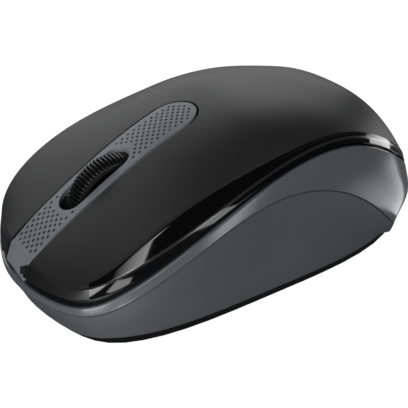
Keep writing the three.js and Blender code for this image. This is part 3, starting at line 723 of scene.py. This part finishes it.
def shell_patches():
    """The side shell: scooped wall, bulging rear, a crease under the scoop painted dark as painted shade,
    polished rounding at the seam, and shelf and neck painted near-black, partly as black plastic and partly
    as painted shade.
    """
    t = np.linspace(0, 1, AROUND + 1)[:-1]
    half = np.minimum(t, 1 - t)
    bottom = WALL_BOTTOM["z"] + WALL_BOTTOM["rise"] * smoothstep(*WALL_BOTTOM["share"], half)
    base = ring(BASE_LINE, t, -0.1)
    base[:, 2] = bottom
    base_in = ring(BASE_LINE, t, 1.2)
    base_in[:, 2] = bottom + 0.1
    scoop = ring(SCOOP_LINE, t)
    lowest = bottom + 1.2
    present = smoothstep(0, 2.5, scoop[:, 2] - lowest)
    scoop[:, 2] = np.maximum(scoop[:, 2], lowest)
    rise = smoothstep(*BELLY["share"], half)
    push = (ring(SCOOP_LINE, t, -0.4 * BELLY["out"]) - ring(SCOOP_LINE, t)) * rise[:, None]
    under = ring(SCOOP_LINE, t, 0.3 * present) + push
    under[:, 2] = scoop[:, 2] - 0.45
    middle = (base + under) / 2 + (ring(BASE_LINE, t, 0.5 * present) - base)
    seam = ring(SEAM_LINE, t, 0, -0.1)
    belly = (scoop + seam) / 2 + (ring(SEAM_LINE, t, -BELLY["out"] * rise) - ring(SEAM_LINE, t))
    scoop += push
    ledge = ring(SEAM_LINE, t, 0.5)
    inset = SHELF["inset"] + SHELF["back"] * (1 - smoothstep(*SHELF["share"], half))
    shelf = ring(SEAM_LINE, t, inset)
    neck = ring(SEAM_LINE, t, inset + 0.1, SHELF["neck"])
    steps = 6
    outer = softened([base_in, base, middle, under, scoop, belly, seam, ledge],
                     [0.2, 12, 0.2, 0.15, 12, 0.3], steps)
    inner = softened([ledge, shelf, neck], [0.2])
    groove = 3 * (steps + 1)  # the row where the wall turns in to the crease
    polished = groove + steps // 2 + 1
    # The rows round the crease under the scoop take painted shade; the shelf and neck take near-black,
    # partly black plastic and partly painted shade.
    return [
        grid(outer[:groove], closed=True), grid(outer[groove - 1:polished], 2, closed=True),
        grid(outer[polished - 1:], 3, closed=True), grid(inner, 1, closed=True),
    ]


def rounded_box(x, y, radius, count=6):
    """A plan rectangle with round corners, anticlockwise."""
    corners = [(x[1], y[0], -0.5), (x[1], y[1], 0), (x[0], y[1], 0.5), (x[0], y[0], 1)]
    points = []
    for cx, cy, quarter in corners:
        sx, sy = (1 if cx == x[1] else -1), (1 if cy == y[1] else -1)
        for angle in np.linspace(quarter, quarter + 0.5, count) * math.pi:
            points.append((cx + radius * (math.cos(angle) - sx), cy + radius * (math.sin(angle) - sy)))
    return np.array(points)


def flat(z):
    return lambda x, y: np.full(len(x), float(z))


def level(plan, z):
    return np.column_stack([plan, np.full(len(plan), float(z))])


def disc(place, radius, count=28):
    turn = np.linspace(0, 2 * math.pi, count + 1)[:-1]
    return np.column_stack([place[0] + radius * np.cos(turn), place[1] + radius * np.sin(turn)])


def turned_edge(outer, inner, z, deep, radius=0.25):
    """An edge that rolls from the underside at z up into an opening, as far as deep."""
    return grid(softened([level(outer, z), level(inner, z), level(inner, deep)], [radius]), closed=True)


def opening(x, y, radius, grow=0.25):
    """The two outlines of an opening with a rolled edge: outside the roll and inside it."""
    wider = rounded_box((x[0] - grow, x[1] + grow), (y[0] - grow, y[1] + grow), radius + grow)
    return wider, rounded_box(x, y, radius)


def door_outline(inset, rear_inset):
    """The battery door's outline: straight sides and front, and the body's own line at its rear."""
    x0, x1 = DOOR["x"][0] + inset, DOOR["x"][1] - inset
    t = np.linspace(0.36, 0.5, 400)
    line = ring(BASE_LINE, t, rear_inset)
    rear = line[(line[:, 0] > x0) & (line[:, 0] < x1)][:, :2]
    rear = np.array([(x, np.interp(x, rear[::-1, 0], rear[::-1, 1])) for x in np.linspace(x1, x0, 20)])
    front_y = DOOR["y"] + inset
    right = np.linspace((x1, front_y), rear[0], 12)[:-1]
    left = np.linspace(rear[-1], (x0, front_y), 12)
    front = np.linspace((x0, front_y), (x1, front_y), 10)[1:-1]
    return np.concatenate([right, rear, left, front])


def base_patches():
    """The base's black rim and its underside, with rolled edges at every opening."""
    t = np.linspace(0, 1, AROUND // 2 + 1)[:-1]
    low = FOOT - SKIN
    outline = ring(BASE_LINE, t, 1.1)[:, :2]
    bottom, corner = level(outline, low), level(ring(BASE_LINE, t, 0.45)[:, :2], low)
    side, top = ring(BASE_LINE, t, -0.04, 1.15), ring(BASE_LINE, t, -0.04, BASE_EDGE + 0.25)
    rim = softened([bottom, corner, side, top], [0.4, 0.5])
    openings = [
        opening((SENSOR["x"] - 3.5, SENSOR["x"] + 3.5), (SENSOR["y"] - 4.5, SENSOR["y"] + 4.5), 1.5),
        opening(*SWITCH_SLOT, 0.5),
        opening((RECEIVER["x"][0] - 0.4, RECEIVER["x"][1] + 0.4), RECEIVER["opening"], 0.4),
        (door_outline(-0.5, 1.1), door_outline(-0.3, 1.1)),
        *[(disc(place, 2.45), disc(place, 2.2)) for place in SCREW_HOLES],
    ]
    walls = [turned_edge(wide, edge, low, BASE_EDGE, 0.2) for wide, edge in openings]
    skin = plate([outline, *[wide for wide, _ in openings]], 2.2, flat(low))
    return [skin, grid(rim, closed=True), *walls]


def door_patches():
    """The battery door: a smooth panel with rolled edges and three finger grooves."""
    low, high = FOOT - SKIN, DOOR["top"]
    outer, inner = door_outline(0, 1.05), door_outline(0.3, 1.35)
    rim = softened([level(inner, low), level(outer, low), level(outer, high)], [0.25])
    grooves = [opening(DOOR["grip_x"], (y - 0.5, y + 0.5), 0.45, 0.2) for y in DOOR["grips"]]
    patches = [plate([inner, *[wide for wide, _ in grooves]], 1.8, flat(low)), grid(rim, closed=True)]
    patches.append(plate([outer], 1.8, flat(high)))
    for wide, edge in grooves:
        patches.append(turned_edge(wide, edge, low, low + 0.5, 0.15))
        patches.append(plate([edge], 0.8, flat(low + 0.5)))
    return patches


def foot_patches(x, y, radius):
    """A thin slip foot with a rounded edge."""
    inner = rounded_box((x[0] + 0.3, x[1] - 0.3), (y[0] + 0.3, y[1] - 0.3), radius - 0.3)
    outer = rounded_box(x, y, radius)
    rows = softened([level(inner, 0), level(outer, 0), level(outer, FOOT - SKIN)], [0.25])
    return [plate([inner], 1.5, flat(0)), grid(rows, closed=True)]


def cap_patches(x, y, z, radius, ridges=False):
    """A rounded block that shows its underside and sides, with grip ridges across it if asked."""
    outer = rounded_box(x, y, radius)
    inner = rounded_box((x[0] + 0.4, x[1] - 0.4), (y[0] + 0.4, y[1] - 0.4), max(radius - 0.4, 0.1))
    rows = softened([level(inner, z[0]), level(outer, z[0]), level(outer, z[1])], [0.35])

    def ridged(px, py):
        return z[0] + 0.12 * (1 + np.cos(py * math.pi / 0.4))

    spacing, height = (0.2, fade_edges(ridged, inner, z[0])) if ridges else (1.5, flat(z[0]))
    return [plate([inner], spacing, height), grid(rows, closed=True)]


def fade_edges(height, outline, z):
    """The height inside an outline, settling to z at the outline itself."""
    def faded(px, py):
        near = clearance(np.column_stack([px, py]), [outline])
        return z + (height(px, py) - z) * smoothstep(0, 0.3, near)
    return faded


def make_side_wall():
    return piece("side_wall", shell_patches(), [GREY, NECK_BLACK_AND_SHADE, CREASE_SHADE, POLISHED_GREY], "body",
                 ["side_shell"])


def make_underside():
    piece("base_skin", base_patches(), [BASE_BLACK], "body")
    piece("door_panel", door_patches(), [BASE_BLACK], "battery_door", ["battery_door"])
    side = FEET["side_x"]
    feet = {
        "left_foot": (side, FEET["side_y"], 2.1),
        "right_foot": ((-side[1], -side[0]), FEET["side_y"], 2.1),
        "front_foot": (FEET["front_x"], FEET["front_y"], 2.3),
    }
    for node, outline in feet.items():
        piece(f"{node}_pad", foot_patches(*outline), [SLIP], "body", [node])
    piece("slider_knob", cap_patches(SLIDER["x"], SLIDER["y"], SLIDER["z"], 0.5, ridges=True), [SLIP],
          "power_slider")
    piece("receiver_grip", cap_patches(CAP["x"], CAP["y"], CAP["z"], 0.8), [GLOSS_BLACK], "receiver",
          ["receiver_cap"])


# ---------------------------------------------------------------- scroll wheel

def wheel_points(radius, across, angle):
    """Points of the wheel at a radius, an offset along its axle and an angle from the top forward."""
    return np.stack(np.broadcast_arrays(
        across, WHEEL["y"] - radius * np.sin(angle), WHEEL["z"] + radius * np.cos(angle)), axis=-1)


def tyre_patches():
    """A tyre with rounded ribs across its tread, grooves between them painted black as painted shade, and
    polished shoulders.
    """
    count = WHEEL["ribs"] * RIB["steps"]
    angle = np.linspace(0, 2 * math.pi, count + 1)[:-1]
    phase = np.mod(np.arange(count) / RIB["steps"], 1)
    rib = smoothstep(*RIB["up"], phase) * (1 - smoothstep(*RIB["down"], phase))
    groove_shade_mask = np.roll(rib, -1) + rib < 0.9
    rim, half = WHEEL["radius"], WHEEL["half"]
    smooth, shoulder, tread = 0, 1, 2
    profile = [  # radius, offset, share of the groove's depth, kind of the band that follows
        (HUB_RADIUS, -half + 0.5, 0, smooth), (HUB_RADIUS + 0.3, -half, 0, smooth),
        (rim - 1.2, -half, 0, shoulder), (rim - 0.75, -half + 0.12, 0.35, tread),
        (rim - 0.45, -half + 0.42, 1, tread), (rim - 0.2, -half + 0.8, 1, tread),
        (rim - 0.05, -half + 1.5, 1, tread), (rim, 0, 1, tread),
    ]
    kinds = [p[3] for p in profile[:-1]]
    kinds += kinds[::-1]
    profile += [(r, -offset, share, kind) for r, offset, share, kind in profile[-2::-1]]
    rows = [wheel_points(r - RIB["depth"] * share * (1 - rib), offset, angle)
            for r, offset, share, _ in profile]
    patches = []
    for kind, below, above in zip(kinds, rows, rows[1:]):
        verts, faces, _ = grid([below, above], closed=True)
        # Groove faces of the tread take the painted shade.
        paint = np.where(groove_shade_mask & (kind == tread), 2, int(kind == shoulder))
        patches.append((verts, faces, paint.tolist()))
    return patches


def hub_patches():
    """A dished hub with a raised boss, stepped rings and an axle."""
    angle = np.linspace(0, 2 * math.pi, 97)[:-1]
    half = WHEEL["half"] - 0.3
    side = [(HUB_RADIUS, half), (8.9, half), (8.5, half - 0.9), (7.2, half - 1.35), (4.2, half - 1.5),
            (3.4, half - 0.5), (3.0, half - 0.1), (1.6, half - 0.1), (1.2, half), (1.2, 5.5), (0.8, 5.5)]
    corners = [wheel_points(r, offset, angle) for r, offset in side]
    right = softened(corners, [0.25] * len(corners), 3)
    left = [row * (-1, 1, 1) for row in right]
    barrel = grid([right[0], left[0]], closed=True)
    return [grid(right, closed=True), grid(left, closed=True), barrel]


def make_wheel():
    piece("ribbed_tyre", tyre_patches(), [RUBBER, POLISHED_RUBBER, GROOVE_SHADE], "scroll_wheel",
          ["wheel_tyre"])
    piece("dished_hub", hub_patches(), [GLOSS_BLACK], "scroll_wheel", ["wheel_hub"])


# ---------------------------------------------------------------- finishes, lights and camera

def paint_cad():
    """Procedural finishes on the CAD nodes that stay on show, by their material slot."""
    finish = {
        "black_satin": SATIN_BLACK, "black_matte": BASE_BLACK, "grey_plastic": GREY, "tyre_rubber": RUBBER,
        "black_gloss": GLOSS_BLACK, "foot_slip": SLIP, "board_green": board_material(), "chip_black": CHIP,
        "clear_plastic": CLEAR, "red_plastic": RED, "pale_plastic": WHITE, "steel": STEEL,
        "cell_wrap": cell_material(),
    }
    for part in frame["record"]["subparts"]:
        mesh = frame["nodes"][part["node"]].data
        mesh.materials.clear()
        mesh.materials.append(finish[part["material_slot"]])
        mesh.polygons.foreach_set("material_index", [0] * len(mesh.polygons))


def light(name, place, target, size, radiance, fade=None, only=()):
    """A rectangular light. fade gives the shares of its width, from its left as it looks at the
    target, where its glow starts and is full; only lists the objects that it lights."""
    data = bpy.data.lights.new(name, "AREA")
    data.shape, data.size, data.size_y = "RECTANGLE", size[0] * MM, size[1] * MM
    data.energy = radiance * math.pi * size[0] * size[1] * MM * MM
    lamp = bpy.data.objects.new(name, data)
    bpy.context.scene.collection.objects.link(lamp)
    place, target = Vector(place) * MM, Vector(target) * MM
    lamp.location = place
    lamp.rotation_mode = "QUATERNION"
    lamp.rotation_quaternion = (target - place).to_track_quat("-Z", "Y")
    lamp.visible_camera = False
    if fade:
        data.use_nodes = True
        tree = data.node_tree
        across = lamp.rotation_quaternion @ Vector((1, 0, 0))
        start, full = (place.dot(across) + (share - 0.5) * data.size for share in fade)
        measured = add(tree, "ShaderNodeVectorMath", {"operation": "DOT_PRODUCT"})
        tree.links.new(add(tree, "ShaderNodeNewGeometry").outputs["Position"], measured.inputs[0])
        measured.inputs[1].default_value = across
        glow = ramp(tree, measured.outputs["Value"], 0, 1, start, full)
        tree.links.new(glow, tree.nodes["Emission"].inputs["Strength"])
    if only:
        receivers = bpy.data.collections.new(name + "_receivers")
        for obj in only:
            receivers.objects.link(obj)
        lamp.light_linking.receiver_collection = receivers


def make_floor():
    """A pale floor whose own glow, which lights nothing else, keeps it white."""
    pale, tree, surface = shader("studio_floor", Roughness=0.9, Specular_IOR_Level=0.0,
                                 Emission_Color=(1, 1, 1, 1), Emission_Strength=0.97)
    drift = noise(tree, 2, 1)
    tree.links.new(tint(tree, drift, (0.24, 0.24, 0.24), (0.26, 0.26, 0.26)), surface.inputs["Base Color"])
    far = FLOOR_REACH
    corners = np.array([[(-far, -far, 0), (far, -far, 0)], [(-far, far, 0), (far, far, 0)]])
    floor = piece("studio_floor", [grid(corners)], [pale])
    only_floor = bpy.data.collections.new("lit_by_the_floor")
    only_floor.objects.link(floor)
    floor.light_linking.receiver_collection = only_floor


def make_world():
    world = bpy.data.worlds.new("studio")
    world.use_nodes = True
    world.node_tree.nodes["Background"].inputs["Color"].default_value = (0.95, 0.97, 1, 1)
    world.node_tree.nodes["Background"].inputs["Strength"].default_value = 0.06
    bpy.context.scene.world = world


def make_lights(strip, wall):
    """Softboxes by azimuth, elevation and distance, and cards on the floor; the fill and the strip's
    softbox light only the grey pieces."""
    softbox("front_softbox", 40, 33, 450, (400, 330), 8.5, (0.35, 1.0))
    softbox("fill_softbox", 25, 8, 450, (420, 150), 4.2, only=[strip, wall])
    softbox("side_softbox", 108, 6, 420, (80, 130), 5.5)
    softbox("strip_softbox", 5, 12, 450, (260, 160), 9.0, only=[strip])
    softbox("far_softbox", -108, 24, 420, (700, 150), 2.3)
    softbox("rear_softbox", 178, 2, 420, (230, 170), 4.5, (0.0, 0.75))
    floor_card("front_card", (38, -67), (28, 14), 9.0)
    floor_card("side_card", (48.5, -44.5), (16, 14), 6.0)
    floor_card("rear_card", (48, 103), (54, 114), 2.6, (0.0, 1.0))


def floor_card(name, place, size, radiance, fade=None):
    """A light that lies on the floor and shines upwards."""
    light(name, (*place, 1), (*place, 2), size, radiance, fade)


def softbox(name, azimuth, elevation, distance, size, radiance, fade=None, only=()):
    """A light that faces the mouse from a direction in degrees."""
    centre = Vector((0, 0, 18))
    place = centre + distance * direction(azimuth, elevation)
    light(name, place, centre, size, radiance, fade, only)


def direction(azimuth, elevation):
    """Unit vector from the mouse towards a place, by angles in degrees."""
    a, e = math.radians(azimuth), math.radians(elevation)
    return Vector((math.sin(a) * math.cos(e), -math.cos(a) * math.cos(e), math.sin(e)))


def make_camera():
    """The camera at VIEW, whose angles are degrees and whose lengths are millimetres."""
    azimuth, roll_angle = math.radians(VIEW["azimuth"]), math.radians(VIEW["roll"])
    back = direction(VIEW["azimuth"], VIEW["elevation"])
    right = Vector((math.cos(azimuth), math.sin(azimuth), 0))
    up = back.cross(right)
    right, up = (right * math.cos(roll_angle) + up * math.sin(roll_angle),
                 up * math.cos(roll_angle) - right * math.sin(roll_angle))
    data = bpy.data.cameras.new("camera")
    data.sensor_width = VIEW["sensor"]
    data.lens = VIEW["lens"]
    data.clip_start, data.clip_end = 0.01, 20
    eye = bpy.data.objects.new("camera", data)
    bpy.context.scene.collection.objects.link(eye)
    place = Matrix((right, up, back)).transposed().to_4x4()
    place.translation = (Vector(VIEW["target"]) + back * VIEW["distance"]) * MM
    eye.matrix_world = place
    bpy.context.scene.camera = eye


bpy.context.scene.view_settings.view_transform = "Standard"
make_camera()
paint_cad()
make_cover()
strip_shell = make_strip()
side_wall = make_side_wall()
make_underside()
make_wheel()
make_floor()
make_world()
make_lights(strip_shell, side_wall)
